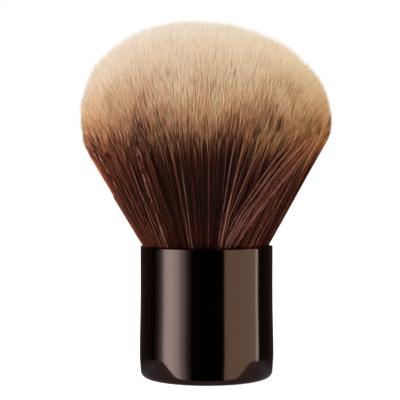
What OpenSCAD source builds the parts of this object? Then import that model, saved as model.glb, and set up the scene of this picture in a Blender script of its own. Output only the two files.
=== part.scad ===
// Kabuki makeup brush: a dense domed head of two-tone fibres, potted in a short drawn metal handle.
// Millimetres. The origin is the centre of the flat foot, and +Z runs up the handle to the crown.

/* [Handle shell] */
// Outer diameter of the drawn handle
handle_d = 32; // [30:0.5:36]
// Height of the handle, from the foot to the rim
handle_h = 31.8; // [29:0.2:38]
// Wall of the drawn shell
shell_wall = 0.45; // [0.35:0.05:0.7]
// Thickness of the shell's closed foot
shell_floor = 0.6; // [0.4:0.1:1]
// Rounding between the foot and the side
foot_r = 2.5; // [1.5:0.1:3.5]

/* [Base weight] */
// Chamfer on both edges of the steel slug that weights the foot
weight_chamfer = 0.6; // [0.3:0.1:1]
// Thickness of the tape that holds the slug down
tape_t = 0.3; // [0.2:0.1:0.5]
// Width left free around the tape, inside the slug's edge
tape_inset = 1.2; // [0.8:0.1:2]

/* [Liner] */
// Wall of the moulded liner
liner_wall = 0.8; // [0.6:0.1:1.2]
// Thickness of the liner's floor
liner_floor = 1.5; // [1:0.1:2]
// Number of crush ribs outside the liner
crush_ribs = 24; // [12:4:36]
// Height of the crush ribs
crush_rib_h = 0.4; // [0.3:0.1:0.6]
// Width of the crush ribs
crush_rib_w = 1; // [0.6:0.1:1.4]
// Number of ribs that grip the slug
grip_ribs = 8; // [4:2:12]
// Width of the ribs that grip the slug
grip_rib_w = 1.6; // [1:0.1:2.4]
// Number of slots in the liner's mouth
mouth_slots = 4; // [3:1:6]
// Width of the slots in the liner's mouth
mouth_slot_w = 2.4; // [1.6:0.2:4]
// Depth of the slots in the liner's mouth
mouth_slot_h = 7; // [4:0.5:10]
// Vent in the liner's floor, for the glue
vent_d = 6; // [3:0.5:10]

/* [Ferrule] */
// Wall of the inner ferrule
ferrule_wall = 0.5; // [0.3:0.05:0.6]
// Radius of the rolled bead on the ferrule's mouth
lip_r = 0.45; // [0.35:0.05:0.6]
// Radius of the tool that presses the crimps
crimp_r = 0.8; // [0.6:0.1:1]
// Depth of the crimps that lock the resin
crimp_depth = 0.3; // [0.1:0.05:0.4]
// Distance of the first crimp below the top of the resin, and of the second below the first
crimp_pitch = 2.4; // [2.2:0.1:2.6]
// Thickness of the resin under the roots
resin_h = 4.4; // [3.6:0.2:5.4]
// Height of the resin collar round the roots
collar_h = 2.5; // [1.5:0.5:3]

/* [Binding thread] */
// Diameter of the thread
thread_d = 0.55; // [0.4:0.05:0.7]
// Space between two turns
thread_space = 0.5; // [0.45:0.05:0.8]
// Turns round the roots
thread_turns = 4; // [2:1:5]

/* [Bristles] */
// Widest diameter of the head
head_d = 60.6; // [56:0.2:66]
// Height of the crown above the foot
crown_z = 86.4; // [82:0.2:92]
// Height of the widest place above the foot
widest_z = 62.5; // [60:0.5:66]
// How far below the widest place the outermost fibres end
shoulder_drop = 5.2; // [3:0.2:8]
// Space between the bundle and the shell at the rim
rim_gap = 0.45; // [0.3:0.05:0.8]
// Length of fibre root that the ferrule holds
root_h = 14; // [12:0.5:15]
// Rings of strands in the head
strand_rings = 9; // [8:1:9]
// Share of its cell that a strand fills below its tip
strand_fill = 0.86; // [0.7:0.02:0.9]
// How far a strand's edges wander from an even pattern, as a share of a cell
strand_wander = 0.2; // [0:0.05:0.25]
// Degrees that each ring of strands is turned past the ring inside it
ring_turn = 1.5; // [0:0.5:2]
// Length of a strand's tapered tip
tip_taper = 8; // [5:0.5:11]
// How far the tips scatter about the dome
tip_scatter = 0.7; // [0.1:0.1:1]

/* [Fits] */
// Clearance between pieces that are pressed or glued together
fit_gap = 0.05; // [0.02:0.01:0.1]

/* [Hidden] */
$fn = 96;

// The strand rings that part the core from the middle, and the middle from the skirt
core_rings = 3;
middle_rings = 6;
// A ring of strands has six alike parts
sextants = 6;
// Steps in a turn of the thread, and sides of the thread
thread_steps = 24;
thread_sides = 6;

// Radii, worked out from the shell inwards
shell_r = handle_d / 2;
shell_bore_r = shell_r - shell_wall;
foot_bend_r = foot_r - shell_wall;
weight_r = shell_bore_r - foot_bend_r - fit_gap;
liner_rib_r = shell_bore_r - fit_gap;
liner_r = liner_rib_r - crush_rib_h;
liner_bore_r = liner_r - liner_wall;
ferrule_r = liner_bore_r - fit_gap;
ferrule_bore_r = ferrule_r - ferrule_wall;
thread_path_r = ferrule_bore_r - fit_gap - thread_d / 2;
// A turn has straight steps, whose middles come nearer the roots than their ends
thread_inner_r = thread_path_r * cos(180 / thread_steps) - thread_d / 2;
bundle_r = thread_inner_r - fit_gap;
rim_bundle_r = shell_bore_r - rim_gap;

// The cone of the outermost fibres runs from the rim to where it meets the dome
shoulder_z = widest_z - shoulder_drop;
shoulder_r = head_d / 2 * sqrt(1 - pow(shoulder_drop / (crown_z - widest_z), 2));
flare_slope = (shoulder_r - rim_bundle_r) / (shoulder_z - handle_h);

// Heights, worked out from the rim downwards, so that the knot hangs from the rim
flare_z = handle_h - (rim_bundle_r - bundle_r) / flare_slope;
liner_top_z = flare_z - 2 * lip_r - fit_gap;
root_z = flare_z - root_h;
collar_z = root_z + collar_h;
thread_z = collar_z + fit_gap + thread_d / 2;
thread_pitch = thread_d + thread_space;
ferrule_floor_z = root_z - resin_h;
ferrule_z = ferrule_floor_z - ferrule_wall;
liner_floor_z = ferrule_z - liner_floor;

// Heights, worked out from the foot upwards, with the slug filling the room under the liner's floor
weight_z = shell_floor + tape_t;
weight_h = liner_floor_z - weight_z;
liner_z = foot_r + fit_gap;

// A deep-drawn cup with a rounded foot and a rounded rim
module handle_shell() {
  color("#1c1210")
    rotate_extrude() {
      difference() {
        cup_profile(shell_r, foot_r, 0, handle_h - shell_wall / 2);
        cup_profile(shell_bore_r, foot_bend_r, shell_floor, handle_h);
      }
      translate([shell_r - shell_wall / 2, handle_h - shell_wall / 2])
        circle(d = shell_wall);
    }
}

// Half outline of a round solid of radius r, from z0 to z1, with its lower corner rounded by bend
module cup_profile(r, bend, z0, z1) {
  translate([0, z0 + bend])
    square([r, z1 - z0 - bend]);
  translate([0, z0])
    square([r - bend, bend + (z1 - z0) / 2]);
  translate([r - bend, z0 + bend])
    circle(r = bend);
}

// Double-sided tape under the slug
module slug_tape() {
  color("#c9b58a")
    translate([0, 0, shell_floor])
      cylinder(r = weight_r - tape_inset, h = tape_t);
}

// Turned steel slug with both edges chamfered
module base_weight() {
  color("#8d9196")
    translate([0, 0, weight_z]) {
      cylinder(r1 = weight_r - weight_chamfer, r2 = weight_r, h = weight_chamfer);
      translate([0, 0, weight_chamfer])
        cylinder(r = weight_r, h = weight_h - 2 * weight_chamfer);
      translate([0, 0, weight_h - weight_chamfer])
        cylinder(r1 = weight_r, r2 = weight_r - weight_chamfer, h = weight_chamfer);
    }
}

// Moulded liner: a ribbed sleeve that carries the ferrule on its floor and grips the slug below it
module inner_liner() {
  color("#2f2f33")
    difference() {
      union() {
        translate([0, 0, liner_z])
          linear_extrude(liner_top_z - liner_z)
            difference() {
              liner_outline();
              circle(r = liner_bore_r);
            }
        translate([0, 0, liner_z])
          linear_extrude(liner_floor_z - liner_z)
            grip_rib_outline();
        translate([0, 0, liner_floor_z])
          cylinder(r = liner_bore_r + liner_wall / 2, h = liner_floor);
      }
      translate([0, 0, liner_floor_z - liner_floor])
        cylinder(d = vent_d, h = 3 * liner_floor);
      for (i = [0:mouth_slots - 1])
        rotate(i * 360 / mouth_slots)
          translate([liner_bore_r - liner_wall, -mouth_slot_w / 2, liner_top_z - mouth_slot_h])
            cube([3 * liner_wall + crush_rib_h, mouth_slot_w, 2 * mouth_slot_h]);
    }
}

// Outside of the liner, with its crush ribs
module liner_outline() {
  circle(r = liner_r);
  for (i = [0:crush_ribs - 1])
    rotate((i + 0.5) * 360 / crush_ribs)
      translate([liner_r - liner_wall / 2, -crush_rib_w / 2])
        square([crush_rib_h + liner_wall / 2, crush_rib_w]);
}

// Ribs that reach in from the liner's wall to the slug
module grip_rib_outline() {
  for (i = [0:grip_ribs - 1])
    rotate((i + 0.5) * 360 / grip_ribs)
      translate([weight_r + fit_gap, -grip_rib_w / 2])
        square([liner_bore_r - weight_r - fit_gap + liner_wall / 2, grip_rib_w]);
}

// Thin drawn cup with two crimps and a rolled bead on its mouth
module ferrule_cup() {
  color("#b9bcc0")
    rotate_extrude() {
      difference() {
        ferrule_profile(ferrule_r, ferrule_z, flare_z - lip_r, crimp_r);
        ferrule_profile(ferrule_bore_r, ferrule_floor_z, flare_z, crimp_r + ferrule_wall);
      }
      translate([ferrule_bore_r + lip_r, flare_z - lip_r])
        circle(r = lip_r);
    }
}

// Half outline of the ferrule's outside or cavity, with the crimps pressed in by the tool radius
module ferrule_profile(r, z0, z1, tool_r) {
  difference() {
    translate([0, z0])
      square([r, z1 - z0]);
    for (i = [1:2])
      translate([ferrule_r + crimp_r - crimp_depth, collar_z - i * crimp_pitch])
        circle(r = tool_r);
  }
}

// Cast resin under the roots, with a collar up round them, keyed into the crimps
module root_resin() {
  color("#d8b25c")
    rotate_extrude()
      difference() {
        ferrule_profile(ferrule_bore_r, ferrule_floor_z, collar_z, crimp_r + ferrule_wall);
        translate([0, root_z])
          square([bundle_r + fit_gap, 2 * collar_h]);
      }
}

// The path of the thread: straight for one diameter, round the roots, and straight again
function thread_point(step) =
  let (a = 360 * step / thread_steps)
  [thread_path_r * cos(a), thread_path_r * sin(a), thread_z + thread_pitch * step / thread_steps];

function thread_run(step, side) =
  let (a = 360 * step / thread_steps)
  thread_point(step) + side * thread_d * [-sin(a), cos(a), 0];

thread_last = thread_turns * thread_steps;
thread_path = [
  thread_run(0, -1),
  for (step = [0:thread_last]) thread_point(step),
  thread_run(thread_last, 1)
];

// One ring of the tube, square to the winding at a place on the path
function thread_ring(i) =
  let (a = 360 * min(max(i - 1, 0), thread_last) / thread_steps)
  [for (j = [0:thread_sides - 1])
    let (b = 360 * j / thread_sides)
    thread_path[i] + thread_d / 2 * [cos(a) * cos(b), sin(a) * cos(b), sin(b)]];

// The nearest that two places on the path come, half a turn or more apart
thread_gap = min([
  for (i = [0:len(thread_path) - 1])
    for (j = [i + thread_steps / 2:1:len(thread_path) - 1])
      norm(thread_path[i] - thread_path[j])
]) - thread_d;

// Waxed thread wound round the roots as one unbroken tube
module binding_thread() {
  rings = len(thread_path);
  echo(least_gap_between_thread_turns = thread_gap);
  color("#e8e0cf")
    polyhedron(
      points = [for (i = [0:rings - 1]) each thread_ring(i)],
      faces = [
        for (i = [0:rings - 2])
          for (j = [0:thread_sides - 1])
            each tube_faces(i * thread_sides, j),
        for (j = [1:thread_sides - 2]) [0, j + 1, j],
        for (j = [1:thread_sides - 2])
          [(rings - 1) * thread_sides, (rings - 1) * thread_sides + j, (rings - 1) * thread_sides + j + 1]
      ],
      convexity = 10
    );
}

// The two triangles of side j between the ring that starts at a point and the next ring
function tube_faces(start, j) =
  let (k = (j + 1) % thread_sides)
  [
    [start + j, start + k, start + thread_sides + k],
    [start + j, start + thread_sides + k, start + thread_sides + j]
  ];

// The fan: every strand keeps its place in a cross-section that only grows with height, so none can cross
function fan_r(z) = rim_bundle_r + (z - handle_h) * flare_slope;

// A lattice point of the cross-section, on ring k of 6 * k points, in a disc of radius 1.
// It wanders from its even place, by the same amount for every strand that shares it.
function lattice(k, j) =
  k == 0 ? [0, 0] :
  let (
    place = j % ring_size(k),
    wander = strand_wander * rands(-1, 1, 2, 100 * k + place),
    a = 360 / ring_size(k) * (place + wander[0]) + ring_turn * k,
    r = k + (k < strand_rings ? wander[1] : 0)
  )
  r / strand_rings * [cos(a), sin(a)];

// The triangles between rings k - 1 and k, each as three [ring, place] corners
function cells_of_ring(k) = [
  for (s = [0:sextants - 1])
    each [
      for (i = [0:k - 1])
        [[k, s * k + i], [k, s * k + i + 1], [k - 1, s * (k - 1) + i]],
      for (i = [0:1:k - 2])
        [[k - 1, s * (k - 1) + i], [k, s * k + i + 1], [k - 1, s * (k - 1) + i + 1]]
    ]
];

// The height at which a strand, at a share u of the fan's radius, meets the dome
function dome_z(u) =
  let (
    a = head_d / 2,
    b = crown_z - widest_z,
    p = u * flare_slope,
    q = u * fan_r(0),
    A = pow(p / a, 2) + 1 / pow(b, 2),
    B = 2 * (p * q / pow(a, 2) - widest_z / pow(b, 2)),
    C = pow(q / a, 2) + pow(widest_z / b, 2) - 1
  )
  (-B + sqrt(pow(B, 2) - 4 * A * C)) / (2 * A);

// The points of one strand above its root: two rings of three, and its tip
function strand_points(cell, scatter) =
  let (
    corners = [for (c = cell) lattice(c[0], c[1])],
    middle = (corners[0] + corners[1] + corners[2]) / 3,
    tip_z = dome_z(norm(middle)) + scatter
  )
  [
    for (level = [[1, strand_fill], [0.35, 0.6 * strand_fill]])
      let (z = tip_z - level[0] * tip_taper)
      for (c = corners)
        let (xy = fan_r(z) * (middle + level[1] * (c - middle)))
        [xy[0], xy[1], z],
    let (xy = fan_r(tip_z) * middle)
    [xy[0], xy[1], tip_z]
  ];

// The side faces of one strand, from three root points to three above, or to a tip
function strand_sides(low, high) = [
  for (i = [0:2])
    let (j = (i + 1) % 3)
    each [[low[i], high[i], high[j]], [low[i], high[j], low[j]]]
];

function strand_tip(low, tip) = [for (i = [0:2]) [low[i], tip, low[(i + 1) % 3]]];

// How many lattice points lie inside ring k
function points_before(k) = k == 0 ? 0 : 1 + 3 * k * (k - 1);

function ring_size(k) = k == 0 ? 1 : sextants * k;

// The inner place that edge i of an outer ring joins, in a strip between two rings of one slice
function strip_place(i, inner, outer) = round((i + 0.5) * inner / outer);

// A bundle of strands between two rings, fused to a slice of their set roots.
// The slice's top has no faces of its own: it is the strands' roots, side by side.
module bristle_bundle(inner, outer, seed) {
  cells = [for (k = [inner + 1:outer]) each cells_of_ring(k)];
  scatter = rands(-tip_scatter, tip_scatter, len(cells), seed);
  top_count = points_before(outer + 1) - points_before(inner);
  inner_start = top_count;
  outer_start = inner_start + ring_size(inner);
  strand_start = outer_start + ring_size(outer);
  polyhedron(
    points = [
      for (k = [inner:outer])
        for (j = [0:ring_size(k) - 1])
          [each fan_r(flare_z) * lattice(k, j), flare_z],
      for (k = [inner, outer])
        for (j = [0:ring_size(k) - 1])
          [each fan_r(flare_z) * lattice(k, j), root_z],
      for (i = [0:len(cells) - 1])
        each strand_points(cells[i], scatter[i])
    ],
    faces = [
      for (i = [0:len(cells) - 1])
        let (
          root = [for (c = cells[i])
            points_before(c[0]) - points_before(inner) + c[1] % ring_size(c[0])],
          start = strand_start + 7 * i,
          low = [start, start + 1, start + 2],
          high = [start + 3, start + 4, start + 5]
        )
        each [each strand_sides(root, low), each strand_sides(low, high), each strand_tip(high, start + 6)],
      each slice_wall(top_count - ring_size(outer), outer_start, ring_size(outer), false),
      if (inner > 0)
        each slice_wall(0, inner_start, ring_size(inner), true),
      each slice_bottom(inner, outer, inner_start, outer_start)
    ],
    convexity = 20
  );
}

// The upright wall of a slice, outside it or, turned over, round its middle
function slice_wall(top, bottom, count, inward) = [
  for (j = [0:count - 1])
    let (k = (j + 1) % count)
    each inward
      ? [[bottom + j, top + k, top + j], [bottom + j, bottom + k, top + k]]
      : [[bottom + j, top + j, top + k], [bottom + j, top + k, bottom + k]]
];

// The underside of a slice, as one strip of triangles between its inner and outer rings
function slice_bottom(inner, outer, inner_start, outer_start) = [
  for (s = [0:sextants - 1])
    each [
      for (i = [0:outer - 1])
        [outer_start + s * outer + i,
         outer_start + (s * outer + i + 1) % ring_size(outer),
         inner_start + (s * inner + strip_place(i, inner, outer)) % ring_size(inner)],
      for (j = [0:1:inner - 1])
        let (i = min([for (n = [0:outer - 1]) if (strip_place(n, inner, outer) > j) n]))
        [inner_start + s * inner + j,
         outer_start + s * outer + i,
         inner_start + (s * inner + j + 1) % ring_size(inner)]
    ]
];

// The longest fibres, whose pale tips make the crown
module bristle_core() {
  color("#ead8bf")
    bristle_bundle(0, core_rings, 11);
}

// The fibres round them, tan where pale tips and dark roots mix
module bristle_middle() {
  color("#b98d68")
    bristle_bundle(core_rings, middle_rings, 23);
}

// The short outer fibres, whose dark lengths make the flared sides
module bristle_skirt() {
  color("#46241a")
    bristle_bundle(middle_rings, strand_rings, 37);
}

handle_shell();
slug_tape();
base_weight();
inner_liner();
ferrule_cup();
root_resin();
binding_thread();
bristle_core();
bristle_middle();
bristle_skirt();
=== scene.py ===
import math

import bmesh
import bpy
import numpy as np
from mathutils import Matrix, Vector
from mathutils.kdtree import KDTree


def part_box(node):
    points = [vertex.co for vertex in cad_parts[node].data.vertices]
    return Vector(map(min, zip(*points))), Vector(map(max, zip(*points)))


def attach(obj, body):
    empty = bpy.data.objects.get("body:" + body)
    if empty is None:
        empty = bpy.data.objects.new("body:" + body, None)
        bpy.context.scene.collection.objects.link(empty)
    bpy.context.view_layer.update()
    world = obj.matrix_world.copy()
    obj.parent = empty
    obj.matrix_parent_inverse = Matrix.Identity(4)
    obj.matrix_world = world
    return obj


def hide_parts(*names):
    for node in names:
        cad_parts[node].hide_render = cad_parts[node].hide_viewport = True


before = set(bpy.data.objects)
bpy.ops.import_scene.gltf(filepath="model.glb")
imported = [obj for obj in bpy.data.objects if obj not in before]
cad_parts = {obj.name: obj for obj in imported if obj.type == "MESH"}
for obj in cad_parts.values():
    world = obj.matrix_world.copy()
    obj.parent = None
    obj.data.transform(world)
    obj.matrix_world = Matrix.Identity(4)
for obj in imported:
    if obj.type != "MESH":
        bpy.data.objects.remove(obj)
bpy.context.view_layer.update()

mm = 0.001
touch = 0.01 * mm  # how near a vertex lies to a height that it is picked by
softAngle = math.radians(40)  # edges that bend less than this are shaded smooth
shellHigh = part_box("handle_shell")[1]
threadLow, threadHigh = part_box("binding_thread")
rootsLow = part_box("bristle_core")[0]


# small helpers

def deselectAll():
    if bpy.context.object and bpy.context.object.mode != "OBJECT":
        bpy.ops.object.mode_set(mode="OBJECT")
    bpy.ops.object.select_all(action="DESELECT")


def editMode():
    bpy.ops.object.mode_set(mode="EDIT")


def objectMode():
    bpy.ops.object.mode_set(mode="OBJECT")


def pickVertices(piece, test):
    # selects, in edit mode, the vertices whose place passes the test
    mesh = bmesh.from_edit_mesh(piece.data)
    for face in mesh.faces:
        face.select = False
    for edge in mesh.edges:
        edge.select = False
    for vertex in mesh.verts:
        vertex.select = test(vertex.co)
    mesh.select_flush(True)
    bmesh.update_edit_mesh(piece.data)


def applyModifiers(piece):
    bpy.context.view_layer.objects.active = piece
    for modifier in list(piece.modifiers):
        bpy.ops.object.modifier_apply(modifier=modifier.name)


def bringHome(piece):
    # the place goes into the mesh, and the object to the origin
    deselectAll()
    piece.select_set(True)
    bpy.context.view_layer.objects.active = piece
    bpy.ops.object.transform_apply(location=True, rotation=True, scale=True)


def smoothStep(low, high, value):
    t = np.clip((value - low) / (high - low), 0, 1)
    return t * t * (3 - 2 * t)


class Nodes:
    # a short way to lay down shader nodes and wire them
    def __init__(self, owner):
        owner.use_nodes = True
        self.tree = owner.node_tree
        self.tree.nodes.clear()
        self.count = 0

    def add(self, kind, inputs=None, **settings):
        node = self.tree.nodes.new("ShaderNode" + kind)
        node.location = (220 * (self.count % 8), -260 * (self.count // 8))
        self.count += 1
        for name, value in settings.items():
            setattr(node, name, value)
        for name, value in (inputs or {}).items():
            if isinstance(value, bpy.types.NodeSocket):
                self.tree.links.new(value, node.inputs[name])
            else:
                node.inputs[name].default_value = value
        return node

    def maths(self, operation, *values, clamp=False):
        inputs = dict(enumerate(values))
        return self.add("Math", inputs, operation=operation, use_clamp=clamp).outputs[0]

    def between(self, factor, low, high):
        # low where the factor is 0, and high where it is 1
        return self.maths("MULTIPLY_ADD", factor, high - low, low)

    def ramp(self, factor, stops, interpolation="LINEAR"):
        node = self.add("ValToRGB", {"Fac": factor})
        band = node.color_ramp
        band.interpolation = interpolation
        while len(band.elements) < len(stops):
            band.elements.new(0.5)
        for element, (place, colour) in zip(band.elements, stops):
            element.position = place
            element.color = (*colour, 1)
        return node.outputs["Color"]

    def mix(self, factor, first, second):
        node = self.add("Mix", data_type="RGBA")
        for place, value in ((0, factor), (6, first), (7, second)):
            if isinstance(value, bpy.types.NodeSocket):
                self.tree.links.new(value, node.inputs[place])
            else:
                node.inputs[place].default_value = value if place == 0 else (*value, 1)
        return node.outputs[2]

    def surface(self, shader):
        self.add("OutputMaterial", {"Surface": shader.outputs[0]})


def paint(piece, material):
    piece.data.materials.clear()
    piece.data.materials.append(material)


def fromPicker(red, green, blue):
    # a colour as a picker shows it, 0 to 255, made linear for the shader
    return tuple((v / 255 / 12.92) if v < 10.3 else ((v / 255 + 0.055) / 1.055) ** 2.4
                 for v in (red, green, blue))


# camera: a third of a metre in front of the brush, a little over its middle, tilted a little down

camera = {"place": (-1.6 * mm, -340 * mm, 53 * mm), "tiltDown": 1.7, "lens": 126.3, "sensor": 36}


def placeCamera():
    bpy.ops.object.camera_add(location=camera["place"],
                              rotation=(math.radians(90 - camera["tiltDown"]), 0, 0))
    lens = bpy.context.object
    lens.name = "view"
    lens.data.lens = camera["lens"]
    lens.data.sensor_width = camera["sensor"]
    lens.data.clip_start = 0.01
    lens.data.clip_end = 20
    bpy.context.scene.camera = lens
    bpy.context.scene.view_settings.view_transform = "Standard"
    print("camera placed")


deselectAll()
placeCamera()


# studio: white floor and lamps; black flags, a dark table and three softboxes that only the gloss sees

studio = {
    "worldGrey": 0.50,         # what diffuse light gets from the room
    "floorSize": 6.0,
    "floorGlow": 0.74,         # share of the floor's white that is its own
    "floorPaint": 0.55,        # share that takes light, and so the shadow
    "flagRadius": 0.85,
    "flagHeight": 1.7,
    "flagMiddle": 0.05,                    # height of their middle over the floor
    "flagGlow": (0.006, 0.045),            # in front of the object, and behind it
    "flagTint": (1, 0.72, 0.6),
    "flagCurve": 1.6,                      # how late the flags grow paler towards the back
    "tableGlow": (0.20, 0.17, 0.19),
    "tableSize": (88 * mm, 33 * mm),       # its width and depth
    "tableBack": -2 * mm,                  # how far its middle lies behind the object's
    "tableDrop": 0.05 * mm,                # how far it lies under the foot
    "tableFade": (-4 * mm, 10 * mm),       # from where to where behind the object it grows dark
    "tableDark": 0.25,                     # what is left of its glow there
    "tableCorner": 0.12,                   # how much of a corner is cut, as a share of a side
}

# each softbox is bent round the object; angles run from the camera, + to its right
softboxes = {
    "leftBox": {"angles": (-104, -24), "heights": (-0.62, 0.75), "radius": 0.62,
                "colour": (1.0, 1.04, 1.18), "strength": 2.85,
                "fade": ((0, 0), (0.15, 0.03), (0.25, 0.17), (0.37, 0.88), (0.44, 1), (0.51, 0.98),
                         (0.64, 0.78), (0.79, 0.29), (0.90, 0.06), (1, 0))},
    "rightBox": {"angles": (30.2, 90), "heights": (-0.62, 0.75), "radius": 0.62,
                 "colour": (1.0, 0.86, 0.69), "strength": 1.14,
                 "fade": ((0, 0.78), (0.2, 0.86), (0.6, 0.92), (1, 1))},
    "rightStrip": {"angles": (90.5, 98.2), "heights": (-0.62, 0.75), "radius": 0.62,
                   "colour": (1.0, 1.0, 1.02), "strength": 2.4,
                   "fade": ((0, 0.55), (0.4, 0.85), (0.7, 1), (1, 1))},
}

# each lamp: place and aim in metres, size of its square in metres, watts and colour
lamps = {
    "topLamp": {"place": (-0.18, -0.24, 0.64), "aim": (0, 0, 0.06), "size": 0.45, "power": 2.7,
                "colour": (1.0, 0.985, 0.97)},
    "leftLamp": {"place": (-0.42, -0.44, 0.13), "aim": (0, 0, 0.05), "size": 0.40, "power": 0.82,
                 "colour": (0.93, 1.0, 1.08)},
    "rightLamp": {"place": (0.55, -0.30, 0.10), "aim": (0, 0, 0.05), "size": 0.40, "power": 1.9,
                  "colour": (1.0, 0.78, 0.22)},
    "leftRim": {"place": (-0.44, 0.30, 0.03), "aim": (-0.01, 0, 0.045), "size": 0.30, "power": 0.18,
                "colour": (1.0, 0.88, 0.76)},
    "leftGlow": {"place": (-0.078, -0.004, 0.010), "aim": (-0.02, 0, 0.045), "size": 0.02, "power": 0.185,
                 "colour": (1.0, 0.90, 0.58)},
    "rightGlow": {"place": (0.070, -0.004, 0.008), "aim": (0.02, 0, 0.045), "size": 0.02, "power": 0.045,
                  "colour": (1.0, 0.84, 0.56)},
    "rightRim": {"place": (0.44, 0.30, 0.03), "aim": (0.01, 0, 0.045), "size": 0.30, "power": 2.1,
                 "colour": (1.0, 0.82, 0.55)},
}


def whiteToTheLens(make, glow, shade):
    # a camera, gloss or glass ray sees the glow; every other ray sees the plain shade
    path = make.add("LightPath")
    seen = make.maths("ADD", path.outputs["Is Camera Ray"], path.outputs["Is Glossy Ray"])
    seen = make.maths("ADD", seen, path.outputs["Is Transmission Ray"], clamp=True)
    return make.add("MixShader", {0: seen, 1: shade.outputs[0], 2: glow.outputs[0]})


def lightWorld():
    world = bpy.data.worlds.new("studioAir")
    bpy.context.scene.world = world
    make = Nodes(world)
    grey = studio["worldGrey"]
    room = make.add("Background", {"Color": (grey, grey, grey, 1), "Strength": 1.0})
    white = make.add("Background", {"Color": (1, 1, 1, 1), "Strength": 1.0})
    make.add("OutputWorld", {"Surface": whiteToTheLens(make, white, room).outputs[0]})


def layFloor():
    bpy.ops.mesh.primitive_grid_add(x_subdivisions=8, y_subdivisions=8, size=studio["floorSize"],
                                    location=(0, 0, 0))
    floor = bpy.context.object
    floor.name = "whiteFloor"
    floor.visible_glossy = False
    material = bpy.data.materials.new("whiteFloor")
    make = Nodes(material)
    share = studio["floorPaint"]
    card = make.add("BsdfDiffuse", {"Color": (share, share, share, 1)})
    glow = make.add("Emission", {"Color": (1, 1, 1, 1), "Strength": studio["floorGlow"]})
    none = make.add("Emission", {"Color": (0, 0, 0, 1), "Strength": 0.0})
    make.surface(make.add("AddShader", {0: card.outputs[0],
                                        1: whiteToTheLens(make, glow, none).outputs[0]}))
    paint(floor, material)


def onlyForGloss(piece):
    piece.visible_camera = False
    piece.visible_diffuse = False
    piece.visible_shadow = False
    piece.visible_transmission = False
    piece.visible_volume_scatter = False


def flagMaterial():
    # black in front of the object, and a little paler towards the back
    material = bpy.data.materials.new("blackFlags")
    make = Nodes(material)
    place = make.add("SeparateXYZ", {0: make.add("TexCoord").outputs["Object"]})
    depth = make.maths("MULTIPLY_ADD", place.outputs[1], 0.5 / studio["flagRadius"], 0.5, clamp=True)
    front, back = studio["flagGlow"]
    paler = make.maths("POWER", depth, studio["flagCurve"])
    strength = make.between(paler, front, back)
    make.surface(make.add("Emission", {"Color": (*studio["flagTint"], 1), "Strength": strength}))
    return material


def tableMaterial():
    # glows in front, and grows dark towards the back
    material = bpy.data.materials.new("darkTable")
    make = Nodes(material)
    place = make.add("SeparateXYZ", {0: make.add("TexCoord").outputs["Object"]})
    near, far = ((edge - studio["tableBack"]) / studio["tableSize"][1] for edge in studio["tableFade"])
    dark = studio["tableDark"]
    fall = (1 - dark) / (far - near)
    strength = make.maths("MULTIPLY_ADD", place.outputs[1], -fall, 1 + fall * near)
    strength = make.maths("MINIMUM", make.maths("MAXIMUM", strength, dark), 1.0)
    make.surface(make.add("Emission", {"Color": (*studio["tableGlow"], 1), "Strength": strength}))
    return material


def hangFlags():
    bpy.ops.mesh.primitive_cylinder_add(vertices=64, radius=studio["flagRadius"],
                                        depth=studio["flagHeight"],
                                        location=(0, 0, studio["flagMiddle"]))
    flags = bpy.context.object
    flags.name = "blackFlags"
    paint(flags, flagMaterial())
    onlyForGloss(flags)
    bpy.ops.mesh.primitive_plane_add(size=1, location=(0, studio["tableBack"], -studio["tableDrop"]))
    table = bpy.context.object
    editMode()
    bpy.ops.mesh.bevel(offset=studio["tableCorner"], segments=8, affect="VERTICES")
    objectMode()
    table.scale = (*studio["tableSize"], 1)
    table.name = "darkTable"
    paint(table, tableMaterial())
    onlyForGloss(table)


def hangSoftbox(name, box):
    bpy.ops.mesh.primitive_grid_add(x_subdivisions=40, y_subdivisions=2, size=1)
    panel = bpy.context.object
    panel.name = name
    low, high = (math.radians(a) for a in box["angles"])
    bottom, top = box["heights"]
    for vertex in panel.data.vertices:  # the flat grid is bent round the object
        turn = low + (vertex.co.x + 0.5) * (high - low)
        height = bottom + (vertex.co.y + 0.5) * (top - bottom)
        vertex.co = (box["radius"] * math.sin(turn), -box["radius"] * math.cos(turn), height)
    material = bpy.data.materials.new(name)
    make = Nodes(material)
    across = make.add("SeparateXYZ", {0: make.add("UVMap", uv_map="UVMap").outputs[0]}).outputs[0]
    fade = make.ramp(across, [(place, (v, v, v)) for place, v in box["fade"]], "EASE")
    strength = make.maths("MULTIPLY", fade, box["strength"])
    make.surface(make.add("Emission", {"Color": (*box["colour"], 1), "Strength": strength}))
    paint(panel, material)
    onlyForGloss(panel)


def hangLamp(name, lamp):
    place = Vector(lamp["place"])
    bpy.ops.object.light_add(type="AREA", location=place)
    light = bpy.context.object
    light.name = name
    light.rotation_euler = (Vector(lamp["aim"]) - place).to_track_quat("-Z", "Y").to_euler()
    light.data.size = lamp["size"]
    light.data.energy = lamp["power"]
    light.data.color = lamp["colour"]
    light.visible_camera = False
    light.visible_glossy = False


lightWorld()
layFloor()
hangFlags()
for name, box in softboxes.items():
    hangSoftbox(name, box)
for name, lamp in lamps.items():
    hangLamp(name, lamp)
print("studio lit:", len(softboxes), "softboxes and", len(lamps), "lamps")


# handle: a drawn cup, swollen a little above its rounded foot, in dark glossy brown

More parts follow.
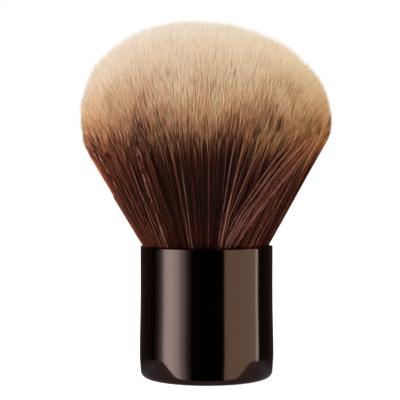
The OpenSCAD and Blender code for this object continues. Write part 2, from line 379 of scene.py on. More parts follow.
handle = {
    "sides": 256,
    "wall": 0.45 * mm,
    "footRound": 1.6 * mm,
    "footSteps": 14,
    "swell": 0.24 * mm,         # how far the side stands out at its fullest
    "swellStart": 0.96 * mm,
    "swellHeight": 5.5 * mm,
    "swellEnd": 21 * mm,
    "rimRound": 0.16 * mm,
    "rimSteps": 5,
    "rimAngle": 50,             # edges that bend more than this, in degrees, are rounded
    # heights, in mm, at which the side is cut so that it can swell
    "cuts": (2.7, 3.1, 3.7, 4.4, 5.1, 5.9, 6.8, 7.8, 9, 10.4, 12, 14, 17, 22, 27, 31, 31.5),
    "colour": (0.100, 0.062, 0.046),
    "deepShare": 0.82,          # how bright its darker patches are, as a share of that
    "roughness": (0.07, 0.13),  # where the lacquer is clear, and where it is hazy
    "wipeRough": 0.03,          # what wipe marks add to that
}


def swellAt(z):
    # a quick rise from the foot's rounding, and a long fall up the side
    if z < handle["swellHeight"]:
        share = smoothStep(handle["swellStart"], handle["swellHeight"], z)
    else:
        share = 1 - smoothStep(handle["swellHeight"], handle["swellEnd"], z)
    return handle["swell"] * share


def makeHandle():
    radius = shellHigh.x
    height = shellHigh.z
    bpy.ops.mesh.primitive_cylinder_add(vertices=handle["sides"], radius=radius, depth=height,
                                        end_fill_type="NGON", location=(0, 0, height / 2))
    cup = bpy.context.object
    cup.name = "lacquered_cup"
    bringHome(cup)
    editMode()
    pickVertices(cup, lambda place: place.z > height - touch)
    bpy.ops.mesh.delete(type="ONLY_FACE")  # the mouth
    pickVertices(cup, lambda place: place.z < touch)
    bpy.ops.mesh.bevel(offset=handle["footRound"], segments=handle["footSteps"], affect="EDGES")
    cuts = [z * mm for z in handle["cuts"]]
    for cut in cuts:
        bpy.ops.mesh.select_all(action="SELECT")
        bpy.ops.mesh.bisect(plane_co=(0, 0, cut), plane_no=(0, 0, 1))
    for cut in cuts:
        stretch = 1 + swellAt(cut) / radius
        pickVertices(cup, lambda place: abs(place.z - cut) < touch)
        bpy.ops.transform.resize(value=(stretch, stretch, 1), center_override=(0, 0, cut))
    objectMode()
    wall = cup.modifiers.new("wall", "SOLIDIFY")
    wall.thickness = handle["wall"]
    wall.offset = -1
    wall.use_even_offset = True
    lip = cup.modifiers.new("lip", "BEVEL")
    lip.width = handle["rimRound"]
    lip.segments = handle["rimSteps"]
    lip.limit_method = "ANGLE"
    lip.angle_limit = math.radians(handle["rimAngle"])
    applyModifiers(cup)
    bpy.ops.object.shade_smooth_by_angle(angle=softAngle)
    return cup


def lacquerMaterial():
    # metal under a clear coat, with a faint haze, wipe marks and the flow of the lacquer
    material = bpy.data.materials.new("lacqueredShell")
    make = Nodes(material)
    place = make.add("TexCoord").outputs["Object"]
    haze = make.add("TexNoise", {"Vector": place, "Scale": 90.0, "Detail": 4.0, "Roughness": 0.6})
    flow = make.add("TexNoise", {"Vector": place, "Scale": 420.0, "Detail": 2.0})
    stretched = make.add("Mapping", {"Vector": place, "Scale": (900, 900, 60)})
    wipes = make.add("TexNoise", {"Vector": stretched.outputs[0], "Scale": 1.0, "Detail": 3.0})
    rough = make.between(haze.outputs[0], *handle["roughness"])
    rough = make.maths("MULTIPLY_ADD", wipes.outputs[0], handle["wipeRough"], rough)
    warm = handle["colour"]
    deep = tuple(handle["deepShare"] * c for c in warm)
    colour = make.mix(haze.outputs[0], deep, warm)
    skin = make.add("Bump", {"Height": flow.outputs[0], "Strength": 0.012, "Distance": 0.2 * mm})
    shader = make.add("BsdfPrincipled", {
        "Base Color": colour, "Roughness": rough, "Metallic": 1.0, "Normal": skin.outputs[0],
        "Coat Weight": 0.35, "Coat Roughness": 0.03, "Coat IOR": 1.5})
    make.surface(shader)
    return material


cup = makeHandle()
paint(cup, lacquerMaterial())
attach(cup, "root")
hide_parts("handle_shell")
print("handle turned:", len(cup.data.polygons), "faces")


# roots: the packed fibre ends, dipped in resin, that the cup holds

roots = {
    "radius": 12.95 * mm,
    "top": 28.3 * mm,
    "skin": 0.12 * mm,          # how deep the furrows between fibre ends are
    "furrows": 96,
    "rings": 10,
    "insets": (1.5 * mm, 4 * mm),  # widths of the rings of faces on both ends
    "seed": 7,
    "fibreColours": ((92, 48, 34), (40, 20, 14)),  # a fibre's middle, and the gap beside it
    "stain": (70, 44, 26),      # where the resin has crept up
    "roughness": (0.25, 0.55),
}


def makeRoots():
    bottom = rootsLow.z
    height = roots["top"] - bottom
    sides = 2 * roots["furrows"]
    bpy.ops.mesh.primitive_cylinder_add(vertices=sides, radius=roots["radius"], depth=height,
                                        end_fill_type="NGON", location=(0, 0, bottom + height / 2))
    plug = bpy.context.object
    plug.name = "fibre_roots"
    bringHome(plug)
    editMode()
    for ring in range(1, roots["rings"]):
        bpy.ops.mesh.select_all(action="SELECT")
        cut = bottom + height * ring / roots["rings"]
        bpy.ops.mesh.bisect(plane_co=(0, 0, cut), plane_no=(0, 0, 1))
    objectMode()
    chance = np.random.default_rng(roots["seed"])
    depths = chance.uniform(0, roots["skin"], sides)
    for vertex in plug.data.vertices:
        side = round(math.atan2(vertex.co.y, vertex.co.x) / (2 * math.pi) * sides)
        shrink = 1 - depths[side % sides] / roots["radius"]
        vertex.co.x *= shrink
        vertex.co.y *= shrink
    editMode()
    for end in (bottom, roots["top"]):
        pickVertices(plug, lambda place: abs(place.z - end) < touch)
        for inset in roots["insets"]:
            bpy.ops.mesh.inset(thickness=inset)
    objectMode()
    deselectAll()
    plug.select_set(True)
    bpy.context.view_layer.objects.active = plug
    bpy.ops.object.shade_smooth_by_angle(angle=softAngle)
    return plug


def rootsMaterial():
    # fibres soaked dark, in streaks up the side and dots on the ends
    material = bpy.data.materials.new("pottedRoots")
    make = Nodes(material)
    place = make.add("TexCoord").outputs["Object"]
    stretched = make.add("Mapping", {"Vector": place, "Scale": (5200, 5200, 90)})
    ends = make.add("TexVoronoi", {"Vector": stretched.outputs[0], "Scale": 1.0}, voronoi_dimensions="3D")
    blotches = make.add("TexNoise", {"Vector": place, "Scale": 260.0, "Detail": 3.0})
    middle, gap = roots["fibreColours"]
    streak = make.ramp(ends.outputs["Distance"], [(0, fromPicker(*middle)), (0.75, fromPicker(*gap))])
    stained = make.maths("MULTIPLY", blotches.outputs[0], 0.5)
    colour = make.mix(stained, streak, fromPicker(*roots["stain"]))
    bump = make.add("Bump", {"Height": ends.outputs["Distance"], "Strength": 0.5, "Distance": 0.05 * mm},
                    invert=True)
    rough = make.between(blotches.outputs[0], *roots["roughness"])
    make.surface(make.add("BsdfPrincipled", {"Base Color": colour, "Roughness": rough, "IOR": 1.5,
                                             "Normal": bump.outputs[0]}))
    return material


plug = makeRoots()
paint(plug, rootsMaterial())
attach(plug, "root")
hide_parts("bristle_core", "bristle_middle", "bristle_skirt")
print("roots potted:", len(plug.data.polygons), "faces")


# thread: two waxed plies, twisted round each other and wound four times round the roots

thread = {
    "width": 0.55 * mm,
    "turns": 4,
    "twist": 1.9 * mm,          # length of one full twist of the plies
    "stepsPerTwist": 10,
    "swell": 1.04,              # how thick a ply is, as a share of half the width
    "squeeze": 0.92,            # how far apart the plies lie, as a share of half the width
    "colours": ((236, 226, 204), (206, 190, 160)),
    "fluff": (176, 158, 128),
    "roughness": (0.45, 0.70),
}


def makeThread():
    pathRadius = threadHigh.x - thread["width"] / 2
    low = threadLow.z + thread["width"] / 2
    rise = threadHigh.z - threadLow.z - thread["width"]
    length = thread["turns"] * 2 * math.pi * pathRadius
    twists = round(length / thread["twist"])
    count = twists * thread["stepsPerTwist"]
    plyRadius = thread["width"] / 4
    plies = []
    for side in (0, math.pi):
        curve = bpy.data.curves.new("ply", "CURVE")
        curve.dimensions = "3D"
        curve.bevel_depth = plyRadius * thread["swell"]
        curve.bevel_resolution = 1
        curve.use_fill_caps = True
        spline = curve.splines.new("POLY")
        spline.points.add(count)
        for step, point in enumerate(spline.points):
            share = step / count
            turn = share * thread["turns"] * 2 * math.pi
            roll = share * twists * 2 * math.pi + side
            out = pathRadius + plyRadius * thread["squeeze"] * math.cos(roll)
            up = low + share * rise + plyRadius * thread["squeeze"] * math.sin(roll)
            point.co = (out * math.cos(turn), out * math.sin(turn), up, 1)
        ply = bpy.data.objects.new("ply", curve)
        bpy.context.scene.collection.objects.link(ply)
        plies.append(ply)
    deselectAll()
    for ply in plies:
        ply.select_set(True)
    bpy.context.view_layer.objects.active = plies[0]
    bpy.ops.object.convert(target="MESH")
    bpy.ops.object.join()
    cord = bpy.context.object
    cord.name = "wound_thread"
    bpy.ops.object.shade_smooth()
    return cord


def threadMaterial():
    material = bpy.data.materials.new("waxedThread")
    make = Nodes(material)
    place = make.add("TexCoord").outputs["Object"]
    fuzz = make.add("TexNoise", {"Vector": place, "Scale": 5200.0, "Detail": 3.0})
    soil = make.add("TexNoise", {"Vector": place, "Scale": 140.0, "Detail": 3.0})
    clean, soiled = thread["colours"]
    wax = make.mix(soil.outputs[0], fromPicker(*clean), fromPicker(*soiled))
    colour = make.mix(make.maths("MULTIPLY", fuzz.outputs[0], 0.6), wax, fromPicker(*thread["fluff"]))
    bump = make.add("Bump", {"Height": fuzz.outputs[0], "Strength": 0.4, "Distance": 0.04 * mm})
    rough = make.between(soil.outputs[0], *thread["roughness"])
    make.surface(make.add("BsdfPrincipled", {"Base Color": colour, "Roughness": rough, "IOR": 1.45,
                                             "Normal": bump.outputs[0]}))
    return material


cord = makeThread()
paint(cord, threadMaterial())
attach(cord, "root")
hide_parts("binding_thread")
print("thread wound:", len(cord.data.polygons), "faces")


# inside of the handle: the CAD pieces keep their shape and get their finish

slug = {
    "colours": ((140, 142, 147), (188, 190, 194)),
    "ringsPerMm": 3.5,          # turning marks
    "roughness": (0.22, 0.42),
}
ferrule = {
    "colours": ((196, 199, 204), (222, 224, 227)),
    "ringsPerMm": 2.2,          # spinning marks
    "roughness": (0.18, 0.38),
}


def turnedMetal(name, metal):
    # fine rings round the axis, with a little uneven sheen
    material = bpy.data.materials.new(name)
    make = Nodes(material)
    place = make.add("TexCoord").outputs["Object"]
    axes = make.add("SeparateXYZ", {0: place})
    flat = make.add("CombineXYZ", {0: axes.outputs[0], 1: axes.outputs[1]})
    out = make.add("VectorMath", {0: flat.outputs[0]}, operation="LENGTH").outputs["Value"]
    reachOut = make.maths("ADD", out, axes.outputs[2])
    wobble = make.add("TexNoise", {"Vector": place, "Scale": 300.0, "Detail": 4.0})
    perMetre = metal["ringsPerMm"] / mm
    phase = make.maths("MULTIPLY_ADD", reachOut, perMetre * 2 * math.pi, wobble.outputs[0])
    ring = make.maths("SINE", phase)
    shade = make.maths("MULTIPLY_ADD", ring, 0.25, wobble.outputs[0], clamp=True)
    bump = make.add("Bump", {"Height": ring, "Strength": 0.15, "Distance": 0.02 * mm})
    rough = make.between(wobble.outputs[0], *metal["roughness"])
    dark, pale = metal["colours"]
    colour = make.mix(shade, fromPicker(*dark), fromPicker(*pale))
    make.surface(make.add("BsdfPrincipled", {"Base Color": colour, "Metallic": 1.0, "Roughness": rough,
                                             "Normal": bump.outputs[0]}))
    return material


tape = {
    "colours": ((222, 208, 172), (200, 182, 142)),
    "cells": (158, 140, 104),
    "roughness": 0.92,
}


def foamMaterial():
    material = bpy.data.materials.new("foamTape")
    make = Nodes(material)
    place = make.add("TexCoord").outputs["Object"]
    cells = make.add("TexVoronoi", {"Vector": place, "Scale": 4200.0})
    drift = make.add("TexNoise", {"Vector": place, "Scale": 180.0, "Detail": 3.0})
    pale, dull = tape["colours"]
    foam = make.mix(drift.outputs[0], fromPicker(*pale), fromPicker(*dull))
    holes = make.ramp(cells.outputs["Distance"], [(0.1, (0, 0, 0)), (0.6, (0.6, 0.6, 0.6))])
    colour = make.mix(holes, foam, fromPicker(*tape["cells"]))
    bump = make.add("Bump", {"Height": cells.outputs["Distance"], "Strength": 0.6, "Distance": 0.08 * mm})
    make.surface(make.add("BsdfPrincipled", {"Base Color": colour, "Roughness": tape["roughness"],
                                             "IOR": 1.4, "Normal": bump.outputs[0]}))
    return material


liner = {
    "colours": ((44, 44, 47), (62, 62, 66)),
    "roughness": (0.38, 0.58),
}


def linerMaterial():
    material = bpy.data.materials.new("mouldedLiner")
    make = Nodes(material)
    place = make.add("TexCoord").outputs["Object"]
    grain = make.add("TexNoise", {"Vector": place, "Scale": 2600.0, "Detail": 2.0})
    sheen = make.add("TexNoise", {"Vector": place, "Scale": 120.0, "Detail": 3.0})
    dark, pale = liner["colours"]
    colour = make.mix(sheen.outputs[0], fromPicker(*dark), fromPicker(*pale))
    bump = make.add("Bump", {"Height": grain.outputs[0], "Strength": 0.35, "Distance": 0.04 * mm})
    rough = make.between(sheen.outputs[0], *liner["roughness"])
    make.surface(make.add("BsdfPrincipled", {"Base Color": colour, "Roughness": rough, "IOR": 1.5,
                                             "Normal": bump.outputs[0]}))
    return material


resin = {
    "colours": ((196, 146, 66), (226, 190, 118)),
    "bubbles": (240, 220, 170),
    "roughness": 0.22,
}


def resinMaterial():
    material = bpy.data.materials.new("castResin")
    make = Nodes(material)
    place = make.add("TexCoord").outputs["Object"]
    swirls = make.add("TexNoise", {"Vector": place, "Scale": 110.0, "Detail": 4.0, "Distortion": 1.2})
    bubbles = make.add("TexVoronoi", {"Vector": place, "Scale": 900.0})
    deep, pale = resin["colours"]
    amber = make.mix(swirls.outputs[0], fromPicker(*deep), fromPicker(*pale))
    specks = make.ramp(bubbles.outputs["Distance"], [(0.10, (1, 1, 1)), (0.16, (0, 0, 0))])
    colour = make.mix(specks, amber, fromPicker(*resin["bubbles"]))
    bump = make.add("Bump", {"Height": swirls.outputs[0], "Strength": 0.2, "Distance": 0.2 * mm})
    make.surface(make.add("BsdfPrincipled", {
        "Base Color": colour, "Roughness": resin["roughness"], "IOR": 1.55, "Coat Weight": 0.4,
        "Coat Roughness": 0.08, "Normal": bump.outputs[0]}))
    return material


finishes = {
    "slug_tape": foamMaterial(),
    "base_weight": turnedMetal("turnedSteel", slug),
    "inner_liner": linerMaterial(),
    "ferrule_cup": turnedMetal("spunAluminium", ferrule),
    "root_resin": resinMaterial(),
}
for node, material in finishes.items():
    paint(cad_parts[node], material)
print("inside finished:", len(finishes), "pieces")


# head: every fibre is a copy of one thin three-sided fibre, standing in a fan that the dome cuts off

head = {
    # the bundle, its fan and its dome
    "fibres": 78000,
    "seed": 47,
    "nudge": 0.55,              # how far chance moves a fibre; their spacing is 1.8 on this scale
    "edge": 0.999,              # the furthest that it then stands from the middle, as a share
    "rim": 15.1 * mm,           # radius of the bundle at the shell's rim
    "aside": -0.25 * mm,        # how far it stands off the shell's middle, to the right
    "slope": 0.568,             # how fast the fan opens
    "slopeLeft": 0.045,         # how much faster it opens to the left, as a share
    "rootHeight": 27.6 * mm,
    "rootScatter": 0.4 * mm,
    "domeRadius": 30.4 * mm,
    "domeLeft": 0.15 * mm,      # how far the dome lies left of the axis
    "widest": 62.5 * mm,
    "crown": 86.1 * mm,
    "crownLeft": 2.4 * mm,      # how much further left its crown lies
    "crownCurve": 1.5,          # how late on the way up the dome leans that way
    "tipHeights": (45 * mm, 92 * mm),         # every fibre leaves the dome between these heights
    "halvings": 30,                           # how often that way is halved to find the height

    # one fibre
    "cuts": (0.42, 0.82, 0.94),               # shares of the length at which it bends
    "widths": (0.048, 0.058, 0.076, 0.066),   # its radius at the root and at each cut, in mm

    # tufts of a few fibres and locks of many, which draw together, lean and end alike
    "perTuft": 8, "tuftPull": 0.54, "tuftLean": 0.017, "tuftLength": 0.36 * mm,
    "perLock": 150, "lockPull": 0.10, "lockLean": 0.012, "lockLength": 0.25 * mm,
    "pullCurve": 1.5,           # how late on the way up they draw together
    "wander": 0.024,            # how much single fibres cross on the side of the fan
    "innerWander": 0.045,       # and inside it, where more of it closes the gaps seen from above
    "innerEven": 0.5,           # how much less the tufts draw together inside, as a share
    "innerEnds": (0.55, 0.92),  # from where to where the inside passes into the side, as shares
    "shorter": 0.15 * mm,       # how unevenly single fibres end
    "outerShorter": 0.7 * mm,   # how unevenly the outer tufts end
    "outerFrom": 0.80,          # share of the fan's radius at which these begin
    "outerHeld": (0.95, 0.99),  # from where to where fibres come to keep their own radius in the fan
    "swirl": 0.05,              # how far the side's locks sweep round, in radians
    "swirlWaves": ((5, 1.0, 1.0), (9, 4.0, 0.7)),   # waves round the fan, start in radians, share

    # wayward locks on the side of the fan, at a turn from the right, swept round as they rise
    "lockDepth": 0.93,          # how deep in the fan they start, as a share of its radius
    "sweepSpread": 2,           # how unevenly their fibres sweep, in degrees
    "outBy": 1 / 3,             # share of the length at which they are out on top of the rest
    # in each lock, bright is the share of fibres coloured as a painted highlight, red the share of
    # reddish ones
    "locks": (
        {"turn": -77, "halfWidth": 7, "sweep": (30, 44), "part": 0.23, "rise": 0.02,
         "red": 0.30, "bright": 0.32},
        {"turn": -55, "halfWidth": 9, "sweep": (6, 30), "part": 0.13, "rise": 0.01,
         "red": 0.35, "bright": 0.05},
        {"turn": -80, "halfWidth": 3, "sweep": (6, 12), "part": 0.25, "rise": 0.01,
         "red": 0.35, "bright": 0.02},
        {"turn": -152, "halfWidth": 13, "sweep": (-9, -1), "part": 0.4, "rise": 0,
         "red": 0.3, "bright": 0.01},
        {"turn": 40, "halfWidth": 9, "sweep": (-46, -34), "part": 0.25, "rise": 0.015,
         "red": 0.4, "bright": 0.3},
        {"turn": 118, "halfWidth": 9, "sweep": (26, 38), "part": 0.25, "rise": 0.015,
         "red": 0.4, "bright": 0.2},
    ),
    # single fibres that lie across the others on the side of the fan; their bright share is coloured as a
    # painted highlight
    "strays": {"share": 0.05, "depth": 0.96, "lean": 0.05, "rise": 0.01, "red": 0.07, "bright": 0.015},

    # colour classes: how many each kind of fibre has, and the heights at the colour map's two ends
    "plainClasses": 72, "redClasses": 12, "brightClasses": 12,
    "mapLow": 27 * mm, "mapHigh": 88 * mm,
    "columnEdge": 0.15,         # what is left free at each side of a class's column, as a share

    # the border between dye and pale tip, the span of the classes and what chance adds to it
    "border": 58.2 * mm, "borderSpread": 36 * mm,
    "tuftBorder": 2.3 * mm, "lockBorder": 1.7 * mm, "ownBorder": 0.8 * mm,
    # this part of the tufts keeps a pale tip of this length, but none that starts under this height
    "palePart": 0.22, "paleTip": (1.5 * mm, 5 * mm), "paleLowest": 55.5 * mm,
    # by the turn from the right in degrees: how far the border is lifted, in mm
    "borderLift": (
        (-180, -3.5), (-157, -2.0), (-132, 0.6), (-120, 1.0), (-100, 0), (-82, 0), (-66, -0.5),
        (-46, -1.2), (-25, -1.4), (0, 0), (50, 1), (90, -1), (130, 0),
    ),
    # by the same turn: the share of reddish fibres on the side of the fan; at the left and right edges
    # they are a painted glow of light shining through the thin edge
    "redAndEdgeGlowShare": (
        (-180, 0.95), (-165, 0.65), (-150, 0.22), (-128, 0.10), (-108, 0.02), (-80, 0.02),
        (-60, 0.08), (-40, 0.18), (-28, 0.14), (-12, 0.16), (0, 0.7), (8, 0.3), (40, 0.10),
        (90, 0.25), (140, 0.12), (168, 0.6),
    ),
    # share of side fibres coloured as a painted highlight
    "brightShare": 0.003,

    # colours by the height over the border, in mm
    "plainColours": (
        (-14, (44, 18, 11)), (-5, (56, 24, 15)), (-1.5, (90, 46, 34)), (1, (168, 113, 82)),
        (4, (210, 160, 120)), (8, (230, 194, 156)), (14, (240, 214, 184)), (20, (246, 226, 202)),
        (28, (250, 236, 218)),
    ),
    "redColours": (
        (-14, (108, 57, 48)), (-7, (118, 66, 54)), (0, (156, 101, 76)), (8, (214, 174, 140)),
        (16, (238, 210, 178)), (28, (246, 228, 206)),
    ),
    # bright fibres: a painted highlight, pale pink, laid into the colour of whole fibres
    "brightColours": (
        (-14, (178, 126, 122)), (-6, (178, 128, 118)), (2, (206, 158, 122)), (8, (230, 194, 156)),
        (28, (250, 236, 218)),
    ),
    "swing": (1.0, 0.2),        # how much fibres differ in brightness, at the dark and at the pale end
    "hue": (0.492, 0.508),
    "roughness": (0.40, 0.55),
}
classes = head["plainClasses"] + head["redClasses"] + head["brightClasses"]
reach = head["mapHigh"] - head["mapLow"]  # what the colour map's length stands for


def modelOneFibre():
    deselectAll()
    bpy.ops.mesh.primitive_cone_add(vertices=3, radius1=1, radius2=0, depth=1, location=(0, 0, 0.5))
    one = bpy.context.object
    bringHome(one)
    editMode()
    for cut in head["cuts"]:
        bpy.ops.mesh.select_all(action="SELECT")
        bpy.ops.mesh.bisect(plane_co=(0, 0, cut), plane_no=(0, 0, 1))
    objectMode()
    return one


def discPlaces(count, chance):
    # even places in a round bundle, like the seeds of a sunflower, nudged by chance
    order = np.arange(count) + 0.5
    turn = order * math.pi * (3 - math.sqrt(5))
    out = np.sqrt(order / count)
    places = np.stack([out * np.cos(turn), out * np.sin(turn)], 1)
    places += chance.normal(0, head["nudge"] / math.sqrt(count), places.shape)
    return places / np.maximum(1, np.linalg.norm(places, axis=1) / head["edge"])[:, None]


def nearest(places, centres):
    tree = KDTree(len(centres))
    for index, (x, y) in enumerate(centres):
        tree.insert((x, y, 0), index)
    tree.balance()
    return np.array([tree.find((x, y, 0))[1] for x, y in places])


def fanPoint(at, z):
    # where a fibre with this place in the bundle passes a height
    size = np.maximum(np.linalg.norm(at, axis=-1), 1e-9)
    slope = head["slope"] * (1 - head["slopeLeft"] * at[..., 0] / size)
    point = at * (head["rim"] + (z - shellHigh.z) * slope)[..., None]
    return point + np.array((head["aside"], 0))


def domeMeets(at):
    # finds the height at which each fibre comes out of the dome, by halving its way up
    low, high = (np.full(len(at), height) for height in head["tipHeights"])
    for _ in range(head["halvings"]):
        z = (low + high) / 2
        rise = (z - head["widest"]) / (head["crown"] - head["widest"])
        point = fanPoint(at, z)
        x = point[:, 0] + head["domeLeft"] + head["crownLeft"] * np.maximum(rise, 0) ** head["crownCurve"]
        outside = (x ** 2 + point[:, 1] ** 2) / head["domeRadius"] ** 2 + rise ** 2 > 1
        high = np.where(outside, z, high)
        low = np.where(outside, low, z)
    return (low + high) / 2


def turned(at, angle):
    cos, sin = np.cos(angle), np.sin(angle)
    return np.stack([at[:, 0] * cos - at[:, 1] * sin, at[:, 0] * sin + at[:, 1] * cos], 1)


def settled(at, share, standOut, level):
    # keeps the outermost fibres at the fan's side, and lets the locks come out on top of them
    size = np.linalg.norm(at, axis=1)
    outermost = smoothStep(*head["outerHeld"], share)
    wanted = np.minimum(size, 1) * (1 - outermost) + share * outermost
    wanted = np.where(standOut > 0, 1 + standOut * min(1, level / head["outBy"]), wanted)
    return at * (wanted / size)[:, None]


def byTurn(steps, turn):
    # a value that changes smoothly round the fan, from its steps in degrees
    degrees, values = zip(*steps)
    return np.interp(np.degrees(turn), degrees, values, period=360)


def growFibres():
    chance = np.random.default_rng(head["seed"])
    places = discPlaces(head["fibres"], chance)
    share = np.linalg.norm(places, axis=1)
    turn = np.arctan2(places[:, 1], places[:, 0])
    count = len(places)

    tuftCentres = discPlaces(count // head["perTuft"], chance)
    lockCentres = discPlaces(count // head["perLock"], chance)
    tuft = nearest(places, tuftCentres)
    lock = nearest(places, lockCentres)
    outer = smoothStep(head["outerFrom"], 1, share)
    inner = 1 - smoothStep(*head["innerEnds"], share)[:, None]

    # one draw that all the fibres of a tuft share, or all those of a lock
    def byTuft(spread, *shape):
        return chance.normal(0, spread, (len(tuftCentres), *shape))[tuft]

    def byLock(spread, *shape):
        return chance.normal(0, spread, (len(lockCentres), *shape))[lock]

    pull = (head["tuftPull"] * (1 - head["innerEven"] * inner) * (tuftCentres[tuft] - places)
            + head["lockPull"] * (lockCentres[lock] - places))
    wander = head["wander"] + (head["innerWander"] - head["wander"]) * inner
    lean = (chance.normal(0, 1, (count, 2)) * wander
            + byTuft(head["tuftLean"], 2) + byLock(head["lockLean"], 2))
    strays = head["strays"]
    astray = (share > strays["depth"]) & (chance.random(count) < strays["share"])
    lean[astray] += chance.normal(0, strays["lean"], (int(astray.sum()), 2))
    draw = chance.random(count)
    onSide = share > head["lockDepth"]
    # bright fibres carry a painted highlight in their colour
    isBright = onSide & (draw < head["brightShare"])
    # reddish fibres; where they crowd at the left and right edges they are a painted glow of light
    # through the edge
    isRed = onSide & (draw > head["brightShare"])
    isRed &= draw < head["brightShare"] + byTurn(head["redAndEdgeGlowShare"], turn)
    isRed |= astray & (draw > 1 - strays["red"])
    isBright |= astray & (draw < strays["bright"])
    waves = sum(size * np.sin(times * turn + begin) for times, begin, size in head["swirlWaves"])
    swirl = head["swirl"] * outer * waves
    standOut = np.where(astray, strays["rise"], 0) * chance.random(count)
    for wayward in head["locks"]:
        off = np.abs((turn - math.radians(wayward["turn"]) + math.pi) % (2 * math.pi) - math.pi)
        joins = (chance.random(count) < wayward["part"]) & onSide
        joins &= off < math.radians(wayward["halfWidth"])
        sweep = chance.uniform(*wayward["sweep"], len(lockCentres))[lock]
        sweep += chance.normal(0, head["sweepSpread"], count)
        swirl = np.where(joins, np.radians(sweep), swirl)
        isBright = np.where(joins, draw < wayward["bright"], isBright)
        reddish = (draw > wayward["bright"]) & (draw < wayward["bright"] + wayward["red"])
        isRed = np.where(joins, reddish, isRed)
        standOut = np.where(joins, wayward["rise"] * chance.random(count), standOut)

    tip = domeMeets(settled(turned(places + pull + lean, swirl), share, standOut, 1))
    tip += (-np.abs(chance.normal(0, head["shorter"], count))
            + byTuft(head["tuftLength"]) + byLock(head["lockLength"])
            - outer * np.abs(byTuft(head["outerShorter"])))
    root = head["rootHeight"] + chance.uniform(0, head["rootScatter"], count)

    levels = np.array((0, *head["cuts"], 1))
    lines = np.zeros((count, len(levels), 3))
    for index, level in enumerate(levels):
        z = root + level * (tip - root)
        at = turned(places + pull * level ** head["pullCurve"] + lean * level, swirl * level)
        lines[:, index, :2] = fanPoint(settled(at, share, standOut, level), z)
        lines[:, index, 2] = z

    border = (head["border"] + byTuft(head["tuftBorder"]) + byLock(head["lockBorder"])
              + chance.normal(0, head["ownBorder"], count) + byTurn(head["borderLift"], turn) * mm)
    pale = chance.random(len(tuftCentres))[tuft] < head["palePart"]
    paleBorder = tip - chance.uniform(*head["paleTip"], len(tuftCentres))[tuft]
    border = np.where(pale, np.minimum(border, np.maximum(paleBorder, head["paleLowest"])), border)
    column = ((border - head["border"]) / head["borderSpread"] + 0.5) * head["plainClasses"]
    column = np.clip(np.floor(column), 0, head["plainClasses"] - 1)
    redColumn = head["plainClasses"] + chance.integers(0, head["redClasses"], count)
    brightColumn = (head["plainClasses"] + head["redClasses"]
                    + chance.integers(0, head["brightClasses"], count))
    column = np.where(isBright, brightColumn, np.where(isRed, redColumn, column))
    return lines, share, column, chance.uniform(0, 2 * math.pi, count)


def copyFibre(one, lines, column, twist, name):
    # lays one copy of the modelled fibre along each line, and unwraps it into its colour column
    levels = np.array((0, *head["cuts"], 1))
    corner = np.array([v.co for v in one.data.vertices])
    level = np.abs(corner[:, 2:] - levels).argmin(1)
    angle = np.arctan2(corner[:, 1], corner[:, 0])
    width = np.array((*head["widths"], 0))[level] * mm
    count, size = len(lines), len(corner)
    spin = angle[None, :] + twist[:, None]
    points = lines[:, level, :].copy()
    points[:, :, 0] += width * np.cos(spin)
    points[:, :, 1] += width * np.sin(spin)

    faces = [list(face.vertices) for face in one.data.polygons]
    loopCorner = np.concatenate(faces)
    sizes = np.array([len(face) for face in faces])
    starts = np.concatenate([[0], np.cumsum(sizes)[:-1]])
    third = np.round(angle / (2 * math.pi / 3)) % 3
    across = []
    for face in faces:
        sides = [third[v] for v in face if level[v] < len(levels) - 1]
        wraps = len(face) > 2 and 0 in sides and 2 in sides and 1 not in sides
        for v in face:
            # the tip belongs to all three sides, and takes the middle of this one
            value = third[v] if level[v] < len(levels) - 1 else 0.5 + min(sides)
            across.append(3 if wraps and value == 0 else value)
    across = np.array(across) / 3

    mesh = bpy.data.meshes.new(name)
    mesh.vertices.add(count * size)
    mesh.vertices.foreach_set("co", points.astype(np.float32).ravel())
    mesh.loops.add(count * len(loopCorner))
    shift = np.arange(count)[:, None]
    mesh.loops.foreach_set("vertex_index", (shift * size + loopCorner).astype(np.int32).ravel())
    mesh.polygons.add(count * len(faces))
    mesh.polygons.foreach_set("loop_start", (shift * len(loopCorner) + starts).astype(np.int32).ravel())
    mesh.polygons.foreach_set("use_smooth", np.ones(count * len(faces), bool))
    uv = np.zeros((count, len(loopCorner), 2), np.float32)
    edge = head["columnEdge"]
    uv[:, :, 0] = (column[:, None] + edge + (1 - 2 * edge) * across) / classes
    uv[:, :, 1] = (points[:, loopCorner, 2] - head["mapLow"]) / reach
    mesh.uv_layers.new(name="OFBake").data.foreach_set("uv", uv.ravel())
    mesh.update(calc_edges=True)
    mesh.validate()
    piece = bpy.data.objects.new(name, mesh)
    bpy.context.scene.collection.objects.link(piece)
    return piece


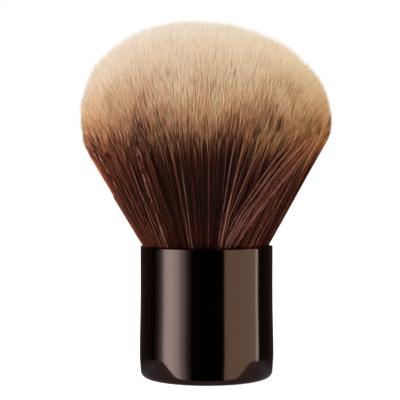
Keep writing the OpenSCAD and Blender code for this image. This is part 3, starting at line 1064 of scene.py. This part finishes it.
def fibreMaterial():
    # three colour ramps along the fibre, and a little luck for each colour class
    material = bpy.data.materials.new("twoToneFibre")
    make = Nodes(material)
    uv = make.add("SeparateXYZ", {0: make.add("UVMap", uv_map="OFBake").outputs[0]})
    column = make.maths("FLOOR", make.maths("MULTIPLY", uv.outputs[0], float(classes)))
    luck = make.add("TexWhiteNoise", {"W": column}, noise_dimensions="1D")
    chances = make.add("SeparateColor", {0: luck.outputs["Color"]})
    unusual = make.maths("GREATER_THAN", column, head["plainClasses"] - 0.5)
    bright = make.maths("GREATER_THAN", column, head["plainClasses"] + head["redClasses"] - 0.5)
    offset = make.maths("SUBTRACT", make.maths("DIVIDE", column, float(head["plainClasses"])), 0.5)
    offset = make.maths("MULTIPLY", offset, make.maths("SUBTRACT", 1.0, unusual))
    bottom = (head["mapLow"] - head["border"]) / mm
    height = make.maths("MULTIPLY_ADD", uv.outputs[1], reach / mm, bottom)
    height = make.maths("MULTIPLY_ADD", offset, -head["borderSpread"] / mm, height)
    low, high = head["plainColours"][0][0], head["plainColours"][-1][0]
    along = make.maths("MULTIPLY_ADD", height, 1 / (high - low), -low / (high - low), clamp=True)

    def rampOf(stops):
        return make.ramp(along, [((z - low) / (high - low), fromPicker(*colour)) for z, colour in stops])

    colour = make.mix(unusual, rampOf(head["plainColours"]), rampOf(head["redColours"]))
    # the bright classes paint a highlight into the fibre's colour
    colour = make.mix(bright, colour, rampOf(head["brightColours"]))
    swing = make.between(along, *head["swing"])
    value = make.maths("MULTIPLY_ADD", make.maths("SUBTRACT", chances.outputs[0], 0.5), swing, 1.0)
    hue = make.between(chances.outputs[1], *head["hue"])
    tinted = make.add("HueSaturation", {"Hue": hue, "Value": value, "Color": colour})
    rough = make.between(chances.outputs[2], *head["roughness"])
    make.surface(make.add("BsdfPrincipled", {"Base Color": tinted.outputs[0], "Roughness": rough,
                                             "IOR": 1.5, "Specular IOR Level": 0.2}))
    return material


one = modelOneFibre()
lines, share, column, twist = growFibres()
fibreLook = fibreMaterial()
turn = (np.arctan2(lines[:, -1, 1], lines[:, -1, 0]) / (2 * math.pi)) % 1
bundles = {  # name of the CAD node, inner and outer share of the fan, number of sectors
    "bristle_core": (0, 1 / 3, 1),
    "bristle_middle": (1 / 3, 2 / 3, 3),
    "bristle_skirt": (2 / 3, 2, 5),
}
for node, (inner, outer, sectors) in bundles.items():
    for sector in range(sectors):
        mine = (share >= inner) & (share < outer) & (np.floor(turn * sectors) == sector)
        name = node.replace("bristle", "fibres") + ("" if sectors == 1 else f"_{sector + 1}")
        bundle = copyFibre(one, lines[mine], column[mine], twist[mine], name)
        paint(bundle, fibreLook)
        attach(bundle, "root")
        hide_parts(node)
        print("fibres laid:", name, int(mine.sum()))
bpy.data.objects.remove(one)
